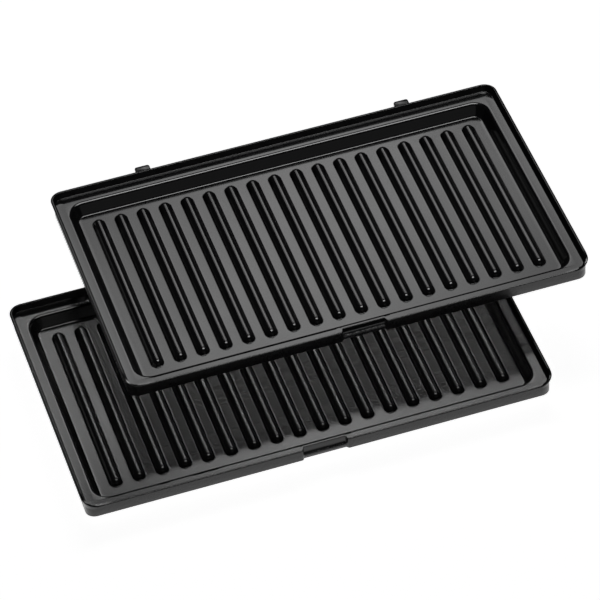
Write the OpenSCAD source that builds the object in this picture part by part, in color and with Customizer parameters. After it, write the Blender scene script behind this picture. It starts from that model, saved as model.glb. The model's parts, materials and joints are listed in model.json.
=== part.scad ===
// A pair of exchangeable grill plates for a panini press.
// Each plate is one die casting: a shallow cooking well with raised ribs,
// a flat ledge round it, a low flared rim on the back and both sides, a
// skirt below, two hinge-side lugs at the back and a latch pocket in front.
// The upper plate is the same casting, shown lying over the lower one.

/* [Plate] */
// Length of the ledge between the feet of the side rims
ledge_l = 252; // [236:1:270]
// Depth of the ledge from the front edge to the foot of the back rim
ledge_w = 150.5; // [142:0.5:160]
// Corner radius at the foot of the rim
corner_r = 5; // [4.5:0.5:7]
// Thickness of the ledge and of the floor
wall_t = 2.6; // [2:0.1:3.2]
// Height of the skirt below the ledge
skirt_h = 7.2; // [6:0.1:7.8]
// How far the skirt stands out past the foot of the rim
skirt_out = 0.8; // [0.4:0.1:1.2]

/* [Rim] */
// Height of the rim above the ledge
rim_h = 4.5; // [3:0.1:6]
// How far the inner face of the rim leans outwards
rim_lean = 1; // [0.6:0.1:1.5]
// Thickness of the rim at its top
rim_t = 1.4; // [1:0.1:1.8]
// Length over which each side rim runs out at the front
rim_run_out = 8; // [6:0.5:14]

/* [Well] */
// Width of the ledge at each side
ledge_side = 5.5; // [4.5:0.1:7]
// Width of the ledge at the back
ledge_back = 6.1; // [5:0.1:8]
// Width of the ledge at the front
ledge_front = 4.7; // [4.2:0.1:6]
// Depth of the well below the ledge
well_d = 6.6; // [6.2:0.1:8]
// How far the sloping wall of the well runs inwards
well_slope = 4; // [3.5:0.1:4.5]
// Corner radius of the well floor
well_r = 5; // [4:0.5:7]

/* [Ribs] */
// Number of ribs
rib_n = 18; // [10:1:18]
// Spacing of the ribs
rib_pitch = 12.5; // [10:0.1:12.6]
// Length of a rib at its foot
rib_l = 118; // [90:1:120]
// Width of a rib at its foot
rib_w = 6.8; // [6:0.1:8]
// Height of a rib above the floor
rib_h = 3; // [2:0.1:3]

/* [Lugs and latch] */
// Spacing of the two lugs at the back
lug_span = 150; // [120:1:170]
// Width of a lug
lug_w = 8.4; // [7:0.1:10]
// Reach of a lug behind the foot of the back rim
lug_out = 10.5; // [9:0.5:13]
// Thickness of a lug
lug_t = 3; // [2.5:0.1:3.5]
// Sideways offset of the lugs and the latch pocket from the middle
key_off = 2; // [0:0.5:4]
// Width of the latch pocket
latch_w = 24; // [20:0.5:28]
// Depth of the latch pocket
latch_d = 2.7; // [2:0.1:3]

/* [Heater ring] */
// Length of the ring on the underside that sits on the heater
ring_l = 190; // [160:1:200]
// Width over the ring
ring_w = 96; // [84:1:104]
// Width of the ring
ring_face = 14; // [12:0.5:16]
// Height of the ring below the floor
ring_h = 3.6; // [3.2:0.1:4]
// Width of the channel that straddles the heating tube
channel_w = 6.8; // [6:0.1:7.5]
// Depth of the channel
channel_d = 3.2; // [2.4:0.1:3.2]

/* [Arrangement] */
// Sideways shift of the upper plate
shift_x = 39; // [36:0.5:42]
// Backward shift of the upper plate
shift_y = 49; // [46:0.5:52]
// Height of the upper plate above the lower plate
shift_z = 27; // [24:0.5:30]

/* [Hidden] */
// Radius of the rib's round back
rib_r = (rib_w * rib_w / 4 + rib_h * rib_h) / (2 * rib_h);
// Rounded bottom of the latch pocket, and how far its lip stands back
pocket_r = 1.9;
pocket_z = 2.7;
lip_back = 1.3;
// Height of the ledge above the face that the plate rests on
ledge_z = well_d + wall_t + ring_h;
front_y = -ledge_w / 2;
back_y = ledge_w / 2;
// Outline of the skirt
skirt_x = ledge_l + 2 * skirt_out;
skirt_y = ledge_w + skirt_out;
skirt_r = corner_r + skirt_out;
// Outline of the rim's outer top edge
rim_w = rim_lean + rim_t;
rim_x = ledge_l + 2 * rim_w;
// Well outlines
well_top_x = ledge_l - 2 * ledge_side;
well_top_y = ledge_w - ledge_back - ledge_front;
well_mid_y = (ledge_front - ledge_back) / 2;
well_bot_x = well_top_x - 2 * well_slope;
well_bot_y = well_top_y - 2 * well_slope;
// Whole plate in front to back: front edge to the tip of the lugs
plate_mid_y = (front_y + back_y + lug_out) / 2;

// Rounded rectangle, centred
module rr(x, y, r) {
    square([x - 2 * r, y], center = true);
    square([x, y - 2 * r], center = true);
    for (sx = [-1, 1], sy = [-1, 1])
        translate([sx * (x / 2 - r), sy * (y / 2 - r)]) circle(r = r, $fn = 48);
}

// Rounded rectangle that grows evenly by g on every side over the height h
module tub(x, y, r, g, h) {
    rotate([90, 0, 90])
        linear_extrude(height = x - 2 * r, center = true)
            polygon([[-y / 2, 0], [y / 2, 0], [y / 2 + g, h], [-y / 2 - g, h]]);
    rotate([90, 0, 0])
        linear_extrude(height = y - 2 * r, center = true)
            polygon([[-x / 2, 0], [x / 2, 0], [x / 2 + g, h], [-x / 2 - g, h]]);
    for (sx = [-1, 1], sy = [-1, 1])
        translate([sx * (x / 2 - r), sy * (y / 2 - r), 0])
            cylinder(r1 = r, r2 = r + g, h = h, $fn = 48);
}

// One cooking rib standing on z = 0: a round back with ball-shaped ends
module rib() {
    intersection() {
        translate([0, 0, rib_h - rib_r]) {
            rotate([90, 0, 0]) cylinder(r = rib_r, h = rib_l - rib_w, center = true, $fn = 96);
            for (s = [-1, 1])
                translate([0, s * (rib_l - rib_w) / 2, 0]) sphere(r = rib_r, $fn = 96);
        }
        translate([-rib_w, -rib_l, -0.5]) cube([2 * rib_w, 2 * rib_l, rib_h + 1]);
    }
}

// Flared rim on three sides, open at the front
module rim() {
    difference() {
        translate([0, skirt_out / 2, -1])
            tub(skirt_x, skirt_y, skirt_r, rim_w - skirt_out, rim_h + 1);
        // inner face of the rim
        tub(ledge_l, ledge_w, corner_r, rim_lean * (rim_h + 1) / rim_h, rim_h + 1);
        // the front is open
        translate([0, front_y - 10, 0])
            rotate([90, 0, 0])
                linear_extrude(height = 60, center = true)
                    polygon([[-ledge_l / 2, 0], [ledge_l / 2, 0],
                             [ledge_l / 2 + rim_lean * (rim_h + 1) / rim_h, rim_h + 1],
                             [-ledge_l / 2 - rim_lean * (rim_h + 1) / rim_h, rim_h + 1]]);
        translate([-ledge_l, front_y - 20, -2]) cube([2 * ledge_l, 20, rim_h + 4]);
        // each side rim runs out towards the front corner in a round
        rotate([90, 0, 90])
            linear_extrude(height = 2 * ledge_l, center = true)
                polygon(concat([[front_y - 5, 0]],
                               [for (a = [0 : 15 : 90])
                                   [front_y + rim_run_out * (1 - cos(a)), rim_h * sin(a)]],
                               [[front_y + rim_run_out, rim_h + 2], [front_y - 5, rim_h + 2]]));
    }
}

// One lug that hooks under the hinge side of the press
module lug() {
    linear_extrude(height = lug_t)
        polygon([[-lug_w / 2, -1], [lug_w / 2, -1], [lug_w / 2, lug_out - 1],
                 [lug_w / 2 - 1, lug_out], [-lug_w / 2 + 1, lug_out], [-lug_w / 2, lug_out - 1]]);
}

// Ring on the underside, with a channel that straddles the heating tube;
// z = 0 is the face that the plate rests on
module heater_ring() {
    difference() {
        linear_extrude(height = ring_h + 0.5)
            difference() {
                rr(ring_l, ring_w, 24);
                rr(ring_l - 2 * ring_face, ring_w - 2 * ring_face, 24 - ring_face);
            }
        translate([0, 0, -1])
            linear_extrude(height = channel_d + 1)
                difference() {
                    rr(ring_l - (ring_face - channel_w), ring_w - (ring_face - channel_w),
                       24 - (ring_face - channel_w) / 2);
                    rr(ring_l - (ring_face + channel_w), ring_w - (ring_face + channel_w),
                       24 - (ring_face + channel_w) / 2);
                }
    }
}

// The pocket in the front wall that the press's latch drops into
module latch_pocket() {
    translate([key_off, front_y, 0]) {
        // upper, open part with splayed ends
        translate([0, 0, -pocket_z])
            linear_extrude(height = pocket_z + 4)
                polygon([[-latch_w / 2 - 0.6, -3], [-latch_w / 2 - 0.6, 0.2],
                         [-latch_w / 2 + 0.6, latch_d], [latch_w / 2 - 0.6, latch_d],
                         [latch_w / 2 + 0.6, 0.2], [latch_w / 2 + 0.6, -3]]);
        // rounded bottom of the pocket
        translate([0, latch_d - pocket_r, -pocket_z]) rotate([0, 90, 0])
            cylinder(r = pocket_r, h = latch_w, center = true, $fn = 48);
        // the lip below it stands back from the front wall
        translate([-latch_w / 2, -3, -10]) cube([latch_w, 3 + lip_back, 12]);
    }
}

// One grill plate, with z = 0 at the top face of the ledge
module casting() {
    difference() {
        union() {
            // ledge
            translate([0, skirt_out / 2, -wall_t])
                linear_extrude(height = wall_t) rr(skirt_x, skirt_y, skirt_r);
            // skirt
            translate([0, skirt_out / 2, -skirt_h])
                linear_extrude(height = skirt_h)
                    difference() {
                        rr(skirt_x, skirt_y, skirt_r);
                        rr(skirt_x - 2 * wall_t, skirt_y - 2 * wall_t, skirt_r - wall_t);
                    }
            // outside of the well
            translate([0, well_mid_y, -well_d - wall_t])
                tub(well_bot_x + 2, well_bot_y + 2, well_r + 1, well_slope * 0.9, well_d);
            // solid block behind the latch pocket
            translate([key_off - latch_w / 2 - 4, front_y + 0.5, -skirt_h])
                cube([latch_w + 8, 7, skirt_h]);
            rim();
            // lugs at the back
            for (s = [-1, 1])
                translate([key_off + s * lug_span / 2, back_y, -lug_t]) lug();
        }
        // inside of the well
        translate([0, well_mid_y, -well_d])
            tub(well_bot_x, well_bot_y, well_r, well_slope * (well_d + 2) / well_d, well_d + 2);
        latch_pocket();
    }
    // ribs on the floor of the well
    for (i = [0 : rib_n - 1])
        translate([(i - (rib_n - 1) / 2) * rib_pitch, 0, -well_d]) rib();
    translate([0, 0, -ledge_z]) heater_ring();
}

module lower_plate() {
    color("#1b1b1c")
        translate([-shift_x / 2, -plate_mid_y - shift_y / 2, ledge_z]) casting();
}

module upper_plate() {
    color("#1b1b1c")
        translate([shift_x / 2, -plate_mid_y + shift_y / 2, ledge_z + shift_z]) casting();
}

lower_plate();
upper_plate();
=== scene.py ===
# Two removable ribbed grill plates, the upper one held over the lower one.
import bmesh
import bpy
import json
import math

import numpy as np
from mathutils import Matrix, Vector

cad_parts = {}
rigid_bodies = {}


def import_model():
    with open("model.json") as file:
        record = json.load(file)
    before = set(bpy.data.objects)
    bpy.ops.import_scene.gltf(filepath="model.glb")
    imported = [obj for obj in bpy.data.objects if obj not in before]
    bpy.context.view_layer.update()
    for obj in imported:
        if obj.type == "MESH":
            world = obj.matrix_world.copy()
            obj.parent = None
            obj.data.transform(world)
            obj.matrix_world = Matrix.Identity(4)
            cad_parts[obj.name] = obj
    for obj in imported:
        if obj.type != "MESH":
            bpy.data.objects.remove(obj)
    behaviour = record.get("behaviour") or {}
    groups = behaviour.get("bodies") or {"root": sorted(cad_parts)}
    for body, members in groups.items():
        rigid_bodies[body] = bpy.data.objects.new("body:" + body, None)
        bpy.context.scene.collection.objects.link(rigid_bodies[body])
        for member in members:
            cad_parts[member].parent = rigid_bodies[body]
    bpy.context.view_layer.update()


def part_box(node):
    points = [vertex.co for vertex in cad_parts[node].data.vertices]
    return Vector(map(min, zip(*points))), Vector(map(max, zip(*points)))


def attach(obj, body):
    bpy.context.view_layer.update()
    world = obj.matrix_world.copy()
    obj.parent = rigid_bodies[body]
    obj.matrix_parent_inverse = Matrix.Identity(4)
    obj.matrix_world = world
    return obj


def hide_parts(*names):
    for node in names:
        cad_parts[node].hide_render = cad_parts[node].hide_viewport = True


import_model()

MM = 0.001

# --------------------------------------------------------------------------
# Sizes of one plate, in millimetres. z = 0 is the ledge, x = y = 0 its middle
# --------------------------------------------------------------------------
FOOT = (0.0, 0.0, 126.0, 75.25, 5.0)       # cx, cy, half x, half y, corner radius
WELL = (0.0, -0.7, 116.5, 65.85, 5.0)      # floor of the well
RING = (0.0, 0.0, 95.0, 48.0, 24.0)        # outside of the ring on the underside
RIM_H = 4.5
RIM_IN = 1.0
RIM_OUT = 2.4
SKIRT_Z = -7.2
SKIRT_OUT = 0.8
DEPTH = 6.6
UNDER = -9.2
REST = -12.8
NOTCH_X = 2.0
NOTCH_W = 24.0
BLOCK_W = 32.0
RIBS, PITCH = 18, 12.5
RIB_HALF, RIB_H, RIB_END = 3.4, 3.0, 59.0
LUG_SPAN, LUG_W, LUG_T, LUG_Y0, LUG_Y1 = 150.0, 8.4, 3.0, 74.4, 85.75


def corner(a, p, b, r, n):
    """n points of the arc of radius r that rounds the corner a-p-b."""
    a, p, b = (np.array(v, float) for v in (a, p, b))
    u = (a - p) / np.linalg.norm(a - p)
    v = (b - p) / np.linalg.norm(b - p)
    ang = math.acos(max(-1.0, min(1.0, float(u @ v))))
    if r <= 0 or ang > math.pi - 1e-4:
        return [tuple(p)] * n
    t = r / math.tan(ang / 2)
    t = min(t, 0.98 * np.linalg.norm(a - p), 0.98 * np.linalg.norm(b - p))
    r = t * math.tan(ang / 2)
    c = p + (u + v) / np.linalg.norm(u + v) * (r / math.sin(ang / 2))
    s, e = p + u * t - c, p + v * t - c
    a0, a1 = math.atan2(s[1], s[0]), math.atan2(e[1], e[0])
    d = (a1 - a0 + math.pi) % (2 * math.pi) - math.pi
    return [(c[0] + r * math.cos(a0 + d * k / (n - 1)), c[1] + r * math.sin(a0 + d * k / (n - 1)))
            for k in range(n)]


def line(p, q, n, ends=True):
    return [(p[0] + (q[0] - p[0]) * k / (n - 1), p[1] + (q[1] - p[1]) * k / (n - 1)) for k in range(n)]


# Points round the plate: corners by angle, sides by a share of their length
def stations():
    out = []
    half = BLOCK_W / 2
    zone = [-half - 1.2, -half - 0.12, -half + 0.12]
    w = NOTCH_W / 2
    zone += [-w - 1.6, -w - 0.85, -w - 0.55, -w - 0.25, -w + 0.0, -w + 0.3, -w + 0.6, -w + 0.9, -w + 1.8]
    zone += [-6.0, -2.0]
    zone = zone + [-v for v in reversed(zone)]
    left, right = zone[0], zone[-1]
    for k in range(12):
        out.append(("f", k / 12.0, -1, left))
    for x in zone:
        out.append(("n", x))
    for k in range(1, 13):
        out.append(("f", 1 - k / 12.0, 1, right))
    out = out[:-1]

    def arc(sx, sy, a0):
        for k in range(17):
            out.append(("c", sx, sy, math.radians(a0 + 90.0 * k / 16)))

    out.pop(0)
    arc(1, -1, -90)
    ys = [-0.985, -0.97, -0.955, -0.94, -0.925, -0.91, -0.895, -0.88, -0.86, -0.8]
    ys += list(np.linspace(-0.7, 0.95, 12))
    for v in ys:
        out.append(("r", v))
    arc(1, 1, 0)
    for v in np.linspace(0.97, -0.97, 25):
        out.append(("b", v))
    arc(-1, 1, 90)
    for v in reversed(ys):
        out.append(("l", v))
    arc(-1, -1, 180)
    return out


def at(st, rect, e):
    """Point at the station on the rounded rectangle rect grown by e."""
    cx, cy, hx, hy, r = rect
    ax, ay = hx - r, hy - r
    k = st[0]
    if k == "c":
        return cx + st[1] * ax + (r + e) * math.cos(st[3]), cy + st[2] * ay + (r + e) * math.sin(st[3])
    if k == "n":
        return NOTCH_X + st[1], cy - hy - e
    if k == "f":
        far = cx + st[2] * ax
        near = NOTCH_X + st[3]
        return far + (near - far) * st[1], cy - hy - e
    if k == "b":
        return cx + ax * st[1], cy + hy + e
    if k == "r":
        return cx + hx + e, cy + ay * st[1]
    return cx - hx - e, cy + ay * st[1]


def smooth(t):
    t = max(0.0, min(1.0, t))
    return t * t * (3 - 2 * t)


def outer_profile(st):
    """From the ledge over the rim or the front edge, down the skirt and up to
    the underside of the ledge: (offset from the foot, z)."""
    x, y = at(st, FOOT, 0.0)
    k = st[0]
    # how much of the rim stands here
    t = (y + 75.25) / 8.2
    h = 0.0 if k in "fn" else (math.sqrt(max(0.0, 1 - (1 - min(1.0, t)) ** 2)) if t < 1 else 1.0)
    # the skirt stands out at the sides and the back, not in front
    ds = SKIRT_OUT
    if k in "fn":
        ds = 0.0
    elif k == "c" and st[2] < 0:
        a = math.degrees(st[3])
        side = (a + 90) / 90.0 if st[1] > 0 else (270 - a) / 90.0
        ds = SKIRT_OUT * smooth(side)
    # fillet at the foot of the rim: large at the back
    back = 1.0 if k == "b" else 0.0
    if k == "c" and st[2] > 0:
        a = math.degrees(st[3])
        back = smooth(a / 90.0 if st[1] > 0 else (180 - a) / 90.0)
    a0 = (-4.2, 0.0)
    rim = [a0]
    small = corner(a0, (0, 0), (RIM_IN, RIM_H), 0.8, 14)
    # at the back the ledge sweeps up a little before it meets the rim
    wide = [(-4.0 + 3.9 * t, 0.60 * t ** 1.2) for t in (0, 0.07, 0.2, 0.4, 0.7, 0.9, 0.97, 1.0)]
    wide += corner((-0.4, 0.51), (0.13, 0.63), (RIM_IN, RIM_H), 0.08, 6)
    rim += [((1 - back) * a[0] + back * b[0], (1 - back) * a[1] + back * b[1]) for a, b in zip(small, wide)]
    low = RIM_H - 0.22 - 0.13 * back
    rim += corner((0, 0), (RIM_IN, RIM_H), (RIM_OUT, low), 0.28, 6)
    rim += corner((RIM_IN, RIM_H), (RIM_OUT, low), (ds, -1.0), 0.35, 6)
    rim += corner((RIM_OUT, low), (ds, -1.0), (ds, SKIRT_Z), 3.0, 4)
    front = [a0]
    front += line((-2.6, 0), (-0.9, 0), 14)
    front += corner((-2, 0), (ds, 0), (ds, -3), 0.5, 12)
    front += line((ds, -1.3), (ds, -2.6), 4)
    tail = []
    tail += corner((ds, -1), (ds, SKIRT_Z), (ds - 2, SKIRT_Z), 0.5, 4)
    tail += corner((ds, SKIRT_Z), (ds - 2.1, SKIRT_Z), (ds - 2.8, -2.6), 0.7, 4)
    tail += corner((ds - 2.1, SKIRT_Z), (ds - 2.7, -2.6), (ds - 6, -2.6), 0.9, 5)
    if k == "n" and abs(st[1]) < BLOCK_W / 2:
        tail = corner((ds, -1), (ds, SKIRT_Z), (ds - 2, SKIRT_Z), 0.5, 4)
        tail += line((ds - 2.2, SKIRT_Z), (ds - 3.4, SKIRT_Z), 4)
        tail += line((ds - 3.6, SKIRT_Z), (ds - 4.6, SKIRT_Z), 5)
    upper = [(h * a[0] + (1 - h) * b[0], h * a[1] + (1 - h) * b[1]) for a, b in zip(rim, front)]
    prof = upper + tail
    if k == "n":
        q = smooth((NOTCH_W / 2 + 0.75 - abs(st[1])) / 1.5)
        if q > 0:
            cen, rad = (-0.8, -2.7), 1.9
            notch = [a0]
            notch += line((-3.9, 0), (-3.15, 0), 14)
            notch += corner((-3.4, 0), (-2.7, 0), (-2.7, -2), 0.35, 6)
            notch += [(cen[0] + rad * math.cos(a), cen[1] + rad * math.sin(a))
                      for a in np.radians(np.linspace(176, 250, 10))]
            notch += corner((-1.9, -4.3), (-1.3, -4.5), (-1.3, -6), 0.22, 4)
            notch = notch[:1 + 14 + 6 + 6 + 4]
            lip = [(-1.3, -4.75), (-1.3, -5.6), (-1.5, SKIRT_Z + 0.05), (-1.9, SKIRT_Z)]
            notch += lip
            notch += line((-2.4, SKIRT_Z), (-3.4, SKIRT_Z), 4)
            notch += line((-3.6, SKIRT_Z), (-4.6, SKIRT_Z), 5)
            prof = [((1 - q) * a[0] + q * b[0], (1 - q) * a[1] + q * b[1]) for a, b in zip(prof, notch)]
    return prof


def well_under(st):
    """Outside of the well and its bottom edge: (offset from the well floor's outline, z)."""
    wall = [(4.7, -2.6), (1.0, UNDER)]
    if st[0] == "n" and abs(st[1]) < BLOCK_W / 2:
        e = 1.0 + 3.7 * (SKIRT_Z - UNDER) / (-2.6 - UNDER)
        pts = line((e + 0.7, SKIRT_Z), (e, SKIRT_Z), 4)
    else:
        pts = corner((6.5, -2.6), wall[0], wall[1], 1.0, 4)
    return pts + corner(wall[0], wall[1], (-6, UNDER), 2.0, 6)


def ring_profile():
    z0, z1, z2 = UNDER, REST, REST + 3.2
    pts = [(2.0, z0)]
    pts += corner((2, z0), (0.35, z0), (0, z1), 0.8, 4)
    pts += corner((0.35, z0), (0, z1), (-3, z1), 0.5, 4)
    pts += corner((0, z1), (-3.6, z1), (-3.6, z2), 0.4, 4)
    pts += corner((-3.6, z1), (-3.7, z2), (-7, z2), 2.9, 8)
    pts += corner((-7, z2), (-10.3, z2), (-10.4, z1), 2.9, 8)
    pts += corner((-10.3, z2), (-10.4, z1), (-12, z1), 0.4, 4)
    pts += corner((-11, z1), (-14.0, z1), (-14.35, z0), 0.5, 4)
    pts += corner((-14, z1), (-14.35, z0), (-17, z0), 0.8, 4)
    pts += [(-16.5, z0)]
    return pts


def well_inner():
    """From the ledge down the sloping wall to the floor."""
    pts = corner((7, 0), (3.6, 0), (0, -DEPTH), 2.3, 10)
    pts += [(2.6, -DEPTH * 1.4 / 4), (1.3, -DEPTH * 2.7 / 4)][:0]
    pts += corner((3.6, 0), (0, -DEPTH), (-6, -DEPTH), 1.4, 8)
    pts += [(-2.4, -DEPTH)]
    return pts


def rib_section():
    """Height of a rib above the floor against the distance from its middle
    line: a round back, with a small fillet where it meets the floor."""
    r = (RIB_HALF ** 2 + RIB_H ** 2) / (2 * RIB_H)
    d = np.concatenate([np.linspace(0, 3.0, 121), np.linspace(3.01, 4.2, 120), [50.0]])
    h = np.sqrt(np.maximum(0.0, r * r - d * d)) - (r - RIB_H)
    slope = -3.2 / math.sqrt(r * r - 3.2 * 3.2)
    h = np.where(d > 3.2, math.sqrt(r * r - 3.2 * 3.2) - (r - RIB_H) + slope * (d - 3.2), h)
    k = 0.20
    soft = 0.5 * (h + np.sqrt(h * h + k * k))
    fade = np.clip((4.15 - d) / 0.5, 0, 1)
    soft = soft * fade * fade * (3 - 2 * fade)
    top = RIB_H / soft[0]
    return d, soft * top


def finish_mesh(name, verts, faces, cast, offset):
    co = (np.array(verts, float) + np.array(offset)) * MM
    me = bpy.data.meshes.new(name)
    me.from_pydata([tuple(v) for v in co], [], faces)
    me.validate(clean_customdata=False)
    at_cast = me.attributes.new("cast", "FLOAT", "POINT")
    if len(me.vertices) == len(cast):
        at_cast.data.foreach_set("value", np.array(cast, np.float32))
    me.polygons.foreach_set("use_smooth", [True] * len(me.polygons))
    # every face turned outwards
    bm = bmesh.new()
    bm.from_mesh(me)
    bmesh.ops.recalc_face_normals(bm, faces=bm.faces)
    bm.to_mesh(me)
    bm.free()
    me.update()
    ob = bpy.data.objects.new(name, me)
    bpy.context.scene.collection.objects.link(ob)
    return ob


def rib_grid(with_gaps=True):
    """Grid over the ribs, fine where they curve: x and y lines and heights above the floor."""
    sd, sh = rib_section()
    ds = [0, 0.25, 0.5, 0.75, 1.0, 1.25, 1.5, 1.75, 2.0, 2.25, 2.5, 2.7, 2.9, 3.05, 3.2, 3.32, 3.44,
          3.54, 3.64, 3.74, 3.86, 4.0, 4.15]
    xs = []
    for i in range(RIBS):
        c = (i - (RIBS - 1) / 2) * PITCH
        xs += [c - d for d in reversed(ds[1:])] + [c + d for d in ds]
        if i < RIBS - 1:
            xs.append(c + PITCH / 2)
    x_end = xs[-1] + 0.8
    xs = [-x_end] + xs + [x_end]
    ys_end = RIB_END - RIB_HALF
    half = [ys_end + d for d in ds] + [ys_end + 4.75]
    ys = [-v for v in reversed(half)] + [-45, -30, -15, 0, 15, 30, 45] + half
    xs, ys = np.array(xs), np.array(ys)
    cs = (np.arange(RIBS) - (RIBS - 1) / 2) * PITCH
    near = np.abs(xs[:, None] - cs[None, :]).min(1)
    over = np.maximum(0, np.abs(ys) - ys_end)
    dist = np.sqrt(near[None, :] ** 2 + over[:, None] ** 2)
    return xs, ys, np.interp(dist, sd, sh)


def build_ribs(name, ox, oy, oz):
    """The ribs of one plate as closed shells that stand in its floor."""
    xs, ys, hh = rib_grid()
    ny, nx = len(ys), len(xs)
    bm = bmesh.new()
    made = {}

    def vert(r, c):
        if (r, c) not in made:
            made[(r, c)] = bm.verts.new(((xs[c] + ox) * MM, (ys[r] + oy) * MM, (hh[r, c] - DEPTH + oz) * MM))
        return made[(r, c)]

    for r in range(ny - 1):
        for c in range(nx - 1):
            if hh[r:r + 2, c:c + 2].max() > 0.002:
                bm.faces.new((vert(r, c), vert(r, c + 1), vert(r + 1, c + 1), vert(r + 1, c)))
    edge = [e for e in bm.edges if len(e.link_faces) == 1]
    new = bmesh.ops.extrude_edge_only(bm, edges=edge)["geom"]
    low = [g for g in new if isinstance(g, bmesh.types.BMVert)]
    for v in low:
        v.co.z = (-DEPTH - 0.5 + oz) * MM
    for e in edge:
        e.smooth = False
    rim = [g for g in new if isinstance(g, bmesh.types.BMEdge) and len(g.link_faces) == 1]
    bmesh.ops.edgeloop_fill(bm, edges=rim)
    bmesh.ops.recalc_face_normals(bm, faces=bm.faces)
    me = bpy.data.meshes.new(name)
    bm.to_mesh(me)
    bm.free()
    me.attributes.new("cast", "FLOAT", "POINT")
    me.polygons.foreach_set("use_smooth", [True] * len(me.polygons))
    me.update()
    ob = bpy.data.objects.new(name, me)
    bpy.context.scene.collection.objects.link(ob)
    return ob


def build_plate(name, ox, oy, oz, ribs=True):
    """Mesh of one plate, closed, with its origin at the row's origin."""
    verts, faces, cast = [], [], []
    sts = stations()
    n = len(sts)

    def add(pts, c):
        i = len(verts)
        verts.extend(pts)
        cast.extend([c] * len(pts) if not isinstance(c, list) else c)
        return list(range(i, i + len(pts)))

    def skin(a, b):
        for i in range(n):
            j = (i + 1) % n
            faces.append((a[i], b[i], b[j], a[j]))

    # outer shell, from the ledge outwards
    profs = [outer_profile(s) for s in sts]
    count = len(profs[0])
    loops = []
    for k in range(count):
        pts, cs = [], []
        for s, p in zip(sts, profs):
            d, z = p[k]
            x, y = at(s, FOOT, d)
            pts.append((x, y, z))
            cs.append(0.0 if k < 21 else (0.35 if k < 25 else (1.0 if k < len(profs[0]) - 7 else 2.0)))
        loops.append(add(pts, cs))
    first_outer = loops[0]
    # well's outside
    wus = [well_under(s) for s in sts]
    for k in range(len(wus[0])):
        loops.append(add([(*at(s, WELL, w[k][0]), w[k][1]) for s, w in zip(sts, wus)], 2.0))
    # ring on the underside
    for e, z in ring_profile():
        loops.append(add([(*at(s, RING, e), z) for s in sts], 2.0))
    for a, b in zip(loops, loops[1:]):
        skin(a, b)
    faces.append(tuple(reversed(loops[-1][::-1])))
    # inside of the well
    prev = first_outer
    inner = []
    for e, z in well_inner():
        lp = add([(*at(s, WELL, e), z) for s in sts], 0.0)
        for i in range(n):
            j = (i + 1) % n
            faces.append((prev[i], prev[j], lp[j], lp[i]))
        prev = lp
        inner.append(lp)

    # floor with ribs, on a grid that is fine where the ribs curve
    xs, ys, hh = rib_grid()
    zz = (hh if ribs else 0 * hh) - DEPTH
    if not ribs:
        keep_x = [0] + [i for i in range(1, len(xs) - 1) if i % 12 == 0] + [len(xs) - 1]
        keep_y = [0] + [i for i in range(1, len(ys) - 1) if i % 8 == 0] + [len(ys) - 1]
        xs, ys, zz = xs[keep_x], ys[keep_y], zz[np.ix_(keep_y, keep_x)]
    ny, nx = len(ys), len(xs)
    base = len(verts)
    gx, gy = np.meshgrid(xs, ys)
    add([tuple(p) for p in np.stack([gx.ravel(), gy.ravel(), zz.ravel()], 1)], 0.0)
    for r in range(ny - 1):
        for c in range(nx - 1):
            a = base + r * nx + c
            faces.append((a, a + 1, a + 1 + nx, a + nx))
    # flat strip between the well's wall and the grid
    loop = inner[-1]
    arcs = [i for i, s in enumerate(sts) if s[0] == "c"]
    mids = [arcs[8], arcs[17 + 8], arcs[34 + 8], arcs[51 + 8]]     # FR, BR, BL, FL
    V = verts

    def zipper(a, b, key):
        i = j = 0
        while i < len(a) - 1 or j < len(b) - 1:
            if j == len(b) - 1 or (i < len(a) - 1 and key(V[a[i + 1]]) <= key(V[b[j + 1]])):
                faces.append((a[i], a[i + 1], b[j]))
                i += 1
            else:
                faces.append((a[i], b[j + 1], b[j]))
                j += 1

    def run(a, b):
        return [loop[k % n] for k in range(a, b + 1 if b >= a else b + n + 1)]

    front = [base + c for c in range(nx)]
    right = [base + r * nx + nx - 1 for r in range(ny)]
    back = [base + (ny - 1) * nx + c for c in reversed(range(nx))]
    left = [base + r * nx for r in reversed(range(ny))]
    zipper(run(mids[3], mids[0]), front, lambda p: p[0])
    zipper(run(mids[0], mids[1]), right, lambda p: p[1])
    zipper(run(mids[1], mids[2]), back, lambda p: -p[0])
    zipper(run(mids[2], mids[3]), left, lambda p: -p[1])

    # the two lugs at the back
    for s in (-1, 1):
        cx = NOTCH_X + s * LUG_SPAN / 2
        hw = LUG_W / 2
        out = [(-hw, LUG_Y0), (hw, LUG_Y0)]
        out += [(p[0], p[1]) for p in corner((hw, LUG_Y0), (hw, LUG_Y1), (-hw, LUG_Y1), 1.1, 5)]
        out += [(p[0], p[1]) for p in corner((hw, LUG_Y1), (-hw, LUG_Y1), (-hw, LUG_Y0), 1.1, 5)]
        m = len(out)
        rings = []
        for inset, z in ((0.45, 0.0), (0.16, -0.12), (0.0, -0.45), (0.0, -LUG_T + 0.4), (0.14, -LUG_T + 0.1), (0.4, -LUG_T)):
            sx = (hw - inset) / hw
            rings.append(add([(cx + p[0] * sx, (p[1] if p[1] <= LUG_Y0 + 0.01 else
                                               LUG_Y0 + (p[1] - LUG_Y0) * (LUG_Y1 - LUG_Y0 - inset) / (LUG_Y1 - LUG_Y0)), z)
                              for p in out], 0.5))
        faces.append(tuple(rings[0]))
        for a, b in zip(rings, rings[1:]):
            for i in range(m):
                j = (i + 1) % m
                faces.append((a[i], b[i], b[j], a[j]))
        faces.append(tuple(reversed(rings[-1])))

    return finish_mesh(name, verts, faces, cast, (ox, oy, oz))


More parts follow.
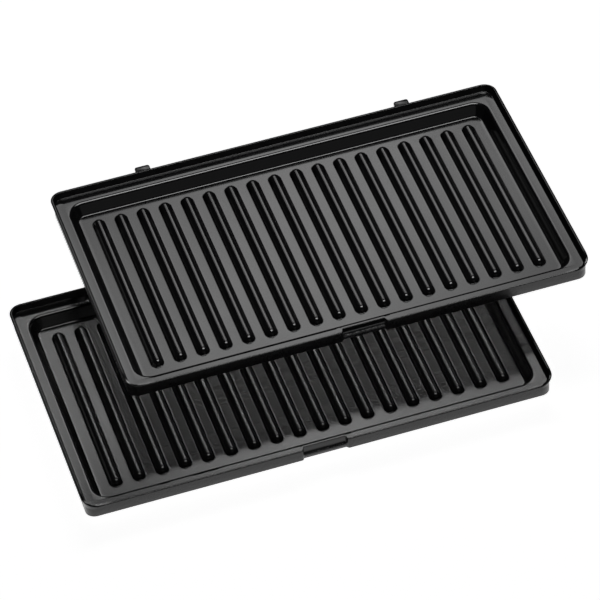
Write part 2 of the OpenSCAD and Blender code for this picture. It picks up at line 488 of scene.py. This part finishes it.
# --------------------------------------------------------------------------
# Materials
# --------------------------------------------------------------------------
def nonstick(name, seed, more=0.0):
    m = bpy.data.materials.new(name)
    m.use_nodes = True
    nt = m.node_tree
    nt.nodes.clear()
    N, K = nt.nodes.new, nt.links.new
    out = N("ShaderNodeOutputMaterial")
    bs = N("ShaderNodeBsdfPrincipled")
    K(bs.outputs["BSDF"], out.inputs["Surface"])
    tc = N("ShaderNodeTexCoord")
    mp = N("ShaderNodeMapping")
    mp.inputs["Location"].default_value = (seed * 0.37, seed * 0.11, 0)
    K(tc.outputs["Object"], mp.inputs["Vector"])

    def noise(scale, detail=3.0, rough=0.5):
        t = N("ShaderNodeTexNoise")
        t.inputs["Scale"].default_value = scale
        t.inputs["Detail"].default_value = detail
        t.inputs["Roughness"].default_value = rough
        K(mp.outputs["Vector"], t.inputs["Vector"])
        return t.outputs["Fac"]

    def ramp(src, lo, hi, a, b):
        r = N("ShaderNodeMapRange")
        r.inputs["From Min"].default_value = lo
        r.inputs["From Max"].default_value = hi
        r.inputs["To Min"].default_value = a
        r.inputs["To Max"].default_value = b
        K(src, r.inputs["Value"])
        return r.outputs["Result"]

    def math_(op, a, b):
        r = N("ShaderNodeMath")
        r.operation = op
        for i, v in enumerate((a, b)):
            if isinstance(v, (int, float)):
                r.inputs[i].default_value = v
            else:
                K(v, r.inputs[i])
        return r.outputs[0]

    att = N("ShaderNodeAttribute")
    att.attribute_name = "cast"
    cast = ramp(att.outputs["Fac"], 0, 1, 0, 1)
    under = ramp(att.outputs["Fac"], 1, 2, 0, 1)
    fine = noise(2600, 2.0, 0.6)
    grain = noise(900, 3.0, 0.55)
    blotch = noise(38, 4.0, 0.6)
    skin = noise(420, 4.0, 0.65)
    # colour: near black, with tiny lighter specks in the coating
    col = N("ShaderNodeMix")
    col.data_type = "RGBA"
    col.inputs["A"].default_value = (0.0022, 0.0022, 0.0024, 1)
    col.inputs["B"].default_value = (0.0042, 0.0042, 0.0045, 1)
    K(ramp(grain, 0.35, 0.7, 0, 1), col.inputs["Factor"])
    speck = N("ShaderNodeMix")
    speck.data_type = "RGBA"
    speck.inputs["B"].default_value = (0.022, 0.022, 0.024, 1)
    K(col.outputs["Result"], speck.inputs["A"])
    K(ramp(fine, 0.70, 0.80, 0, 0.5), speck.inputs["Factor"])
    # the underside is bare cast metal, dulled by heat and overspray
    dull = N("ShaderNodeMix")
    dull.data_type = "RGBA"
    dull.inputs["A"].default_value = (0.17, 0.17, 0.173, 1)
    dull.inputs["B"].default_value = (0.27, 0.27, 0.273, 1)
    K(ramp(blotch, 0.35, 0.65, 0, 1), dull.inputs["Factor"])
    both = N("ShaderNodeMix")
    both.data_type = "RGBA"
    K(speck.outputs["Result"], both.inputs["A"])
    K(dull.outputs["Result"], both.inputs["B"])
    K(under, both.inputs["Factor"])
    K(both.outputs["Result"], bs.inputs["Base Color"])
    K(under, bs.inputs["Metallic"])
    # roughness: soft sheen on top, rougher on the cast outside
    r1 = ramp(blotch, 0.3, 0.7, 0.125 + more, 0.155 + more)
    r2 = ramp(grain, 0.3, 0.7, -0.015, 0.02)
    rough = math_("ADD", math_("ADD", r1, r2), math_("ADD", math_("MULTIPLY", cast, 0.14), math_("MULTIPLY", under, 0.18)))
    K(rough, bs.inputs["Roughness"])
    bs.inputs["IOR"].default_value = 1.5
    b1 = N("ShaderNodeBump")
    b1.inputs["Strength"].default_value = 0.06
    b1.inputs["Distance"].default_value = 0.00004
    K(grain, b1.inputs["Height"])
    b2 = N("ShaderNodeBump")
    b2.inputs["Distance"].default_value = 0.00035
    K(math_("MULTIPLY", cast, 0.55), b2.inputs["Strength"])
    K(skin, b2.inputs["Height"])
    K(b1.outputs["Normal"], b2.inputs["Normal"])
    K(b2.outputs["Normal"], bs.inputs["Normal"])
    return m


# --------------------------------------------------------------------------
# The two plates, placed by their CAD boxes
# --------------------------------------------------------------------------
mats = {"lower": nonstick("nonstick_lower", 1), "upper": nonstick("nonstick_upper", 2)}
rib_mat = nonstick("nonstick_lower_ribs", 1, 0.06)
centre = {}
for which in ("lower", "upper"):
    node = which + "_plate"
    lo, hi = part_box(node)
    cx = (lo.x + hi.x) / 2 / MM
    cy = lo.y / MM + 75.25
    cz = lo.z / MM - REST
    centre[which] = (cx, cy, cz)
    made = [build_plate(which + "_casting", cx, cy, cz, ribs=which == "upper")]
    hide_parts(node)
    if which == "lower":
        made.append(build_ribs("lower_ribs", cx, cy, cz))
    for ob in made:
        ob.data.materials.append(rib_mat if ob.name == "lower_ribs" else mats[which])
        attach(ob, which)

# --------------------------------------------------------------------------
# Floor, light and camera
# --------------------------------------------------------------------------
me = bpy.data.meshes.new("floor")
ring = 96
R = 4.0
me.from_pydata([(R * math.cos(2 * math.pi * i / ring), R * math.sin(2 * math.pi * i / ring), -0.0002) for i in range(ring)],
               [], [tuple(range(ring))])
floor = bpy.data.objects.new("floor", me)
bpy.context.scene.collection.objects.link(floor)
fm = bpy.data.materials.new("floor_pale")
fm.use_nodes = True
fb = fm.node_tree.nodes["Principled BSDF"]
fb.inputs["Base Color"].default_value = (0.86, 0.86, 0.86, 1)
fb.inputs["Roughness"].default_value = 0.9
fb.inputs["Specular IOR Level"].default_value = 0.0
fb.inputs["Emission Color"].default_value = (1, 1, 1, 1)
fb.inputs["Emission Strength"].default_value = 0.95
me.materials.append(fm)

world = bpy.data.worlds.new("studio")
bpy.context.scene.world = world
world.use_nodes = True
wt = world.node_tree
wt.nodes.clear()
wo = wt.nodes.new("ShaderNodeOutputWorld")
mx = wt.nodes.new("ShaderNodeMixShader")
lp = wt.nodes.new("ShaderNodeLightPath")
dim = wt.nodes.new("ShaderNodeBackground")
dim.inputs["Color"].default_value = (0.016, 0.016, 0.017, 1)
pale = wt.nodes.new("ShaderNodeBackground")
pale.inputs["Color"].default_value = (0.93, 0.93, 0.93, 1)
wt.links.new(lp.outputs["Is Camera Ray"], mx.inputs["Fac"])
wt.links.new(dim.outputs[0], mx.inputs[1])
wt.links.new(pale.outputs[0], mx.inputs[2])
wt.links.new(mx.outputs[0], wo.inputs["Surface"])

ux, uy, uz = (v * MM for v in centre["upper"])


def panel(name, az, el, dist, size_x, size_y, power, target=(0.0, 0.0, 0.03), roll=0.0):
    """Soft rectangular light, seen from the target at that azimuth and elevation."""
    a, e = math.radians(az), math.radians(el)
    d = np.array([math.sin(a) * math.cos(e), math.cos(a) * math.cos(e), math.sin(e)])
    li = bpy.data.lights.new(name, "AREA")
    li.shape = "RECTANGLE"
    li.size, li.size_y = size_x, size_y
    li.energy = power
    ob = bpy.data.objects.new(name, li)
    bpy.context.scene.collection.objects.link(ob)
    pos = np.array(target) + d * dist
    ob.location = pos
    turn = Vector(-d).to_track_quat("-Z", "Y").to_matrix() @ Matrix.Rotation(math.radians(roll), 3, "Z")
    ob.rotation_euler = turn.to_euler()
    return ob


# radiance of an area light is power / (pi * area)
def watts(radiance, sx, sy):
    return radiance * math.pi * sx * sy


objs = bpy.data.objects
PANEL = (15.0, 44.0, 1.6, 1.05, 0.36)


def linked(light, receivers, blockers=None):
    """Limits what a light shines on, and what shades it."""
    c = bpy.data.collections.new(light.name + "_on")
    for r in receivers:
        c.objects.link(objs[r])
    light.light_linking.receiver_collection = c
    if blockers:
        c = bpy.data.collections.new(light.name + "_shade")
        for r in blockers:
            c.objects.link(objs[r])
        light.light_linking.blocker_collection = c


# the large soft panel behind the plates, brighter towards its middle
main = panel("back_panel", *PANEL, watts(1.6, PANEL[3], PANEL[4]))
linked(main, ["upper_casting", "lower_casting", "floor"])
glow = panel("back_panel_middle", 16.0, 44.0, 1.59, 0.38, 0.38, watts(1.0, 0.38, 0.38), roll=-20.0)
core = panel("back_panel_core", 16.0, 44.0, 1.58, 0.18, 0.40, watts(0.9, 0.18, 0.40), roll=-20.0)
for lamp in (glow, core):
    linked(lamp, ["upper_casting", "lower_casting"])
# the same panel on the lower plate's ribs, and a weak one on the lower plate:
# the upper plate doesn't shade these two
low = panel("rib_panel", PANEL[0], PANEL[1], 1.62, 0.92, 0.26, watts(3.7, 0.92, 0.26))
linked(low, ["lower_ribs"], ["lower_casting", "lower_ribs"])
low.data.cycles.use_multiple_importance_sampling = False
fill = panel("fill_panel", PANEL[0], PANEL[1], 1.64, 0.90, 0.32, watts(0.66, 0.90, 0.32))
linked(fill, ["lower_casting"], ["lower_casting", "lower_ribs"])
fill.data.cycles.use_multiple_importance_sampling = False
# a wide light overhead, for the rounded edges of the wells and the ends of the ribs
top = panel("top_light", 0.0, 90.0, 1.3, 0.75, 0.50, watts(9.0, 0.75, 0.50), (0.25, -0.05, 0.03))
top.rotation_euler = (0.0, 0.0, 0.0)
linked(top, ["upper_casting"])
top_low = panel("top_light_low", 0.0, 90.0, 1.3, 0.62, 0.26, watts(9.0, 0.62, 0.26), (0.22, -0.08, 0.03))
top_low.rotation_euler = (0.0, 0.0, 0.0)
linked(top_low, ["lower_casting", "lower_ribs"])
# a weak broad light from the front, for the rims and the walls of the wells
front = panel("front_fill", 178.0, 18.0, 2.6, 3.0, 1.1, watts(0.14, 3.0, 1.1))
for lamp in (main, glow, core, low, fill, top, top_low, front):
    lamp.visible_camera = False

# camera: found from the plates' outlines
f_px = 3825.9
t = np.array([8.6, -35.3, 2051.9])
cam_local = np.array([-402.0, -1427.2, 1418.8])          # from the middle of the upper plate's ledge, mm
right = np.array([0.94995, -0.30876, -0.04751])
down = np.array([-0.24977, -0.65933, -0.70915])
fwd = np.array([0.18763, 0.68553, -0.70345])
cd = bpy.data.cameras.new("camera")
cd.sensor_width = 36.0
cd.lens = f_px / 600.0 * 36.0
cd.clip_start, cd.clip_end = 0.05, 50.0
cd.shift_x = -0.5 / 600.0
co_ = bpy.data.objects.new("camera", cd)
bpy.context.scene.collection.objects.link(co_)
pos = np.array([ux, uy, uz]) + cam_local * MM
rot = Matrix((Vector(right), Vector(-down), Vector(-fwd))).transposed().to_4x4()
co_.matrix_world = Matrix.Translation(Vector(pos)) @ rot
bpy.context.scene.camera = co_
bpy.context.scene.view_settings.view_transform = "Standard"
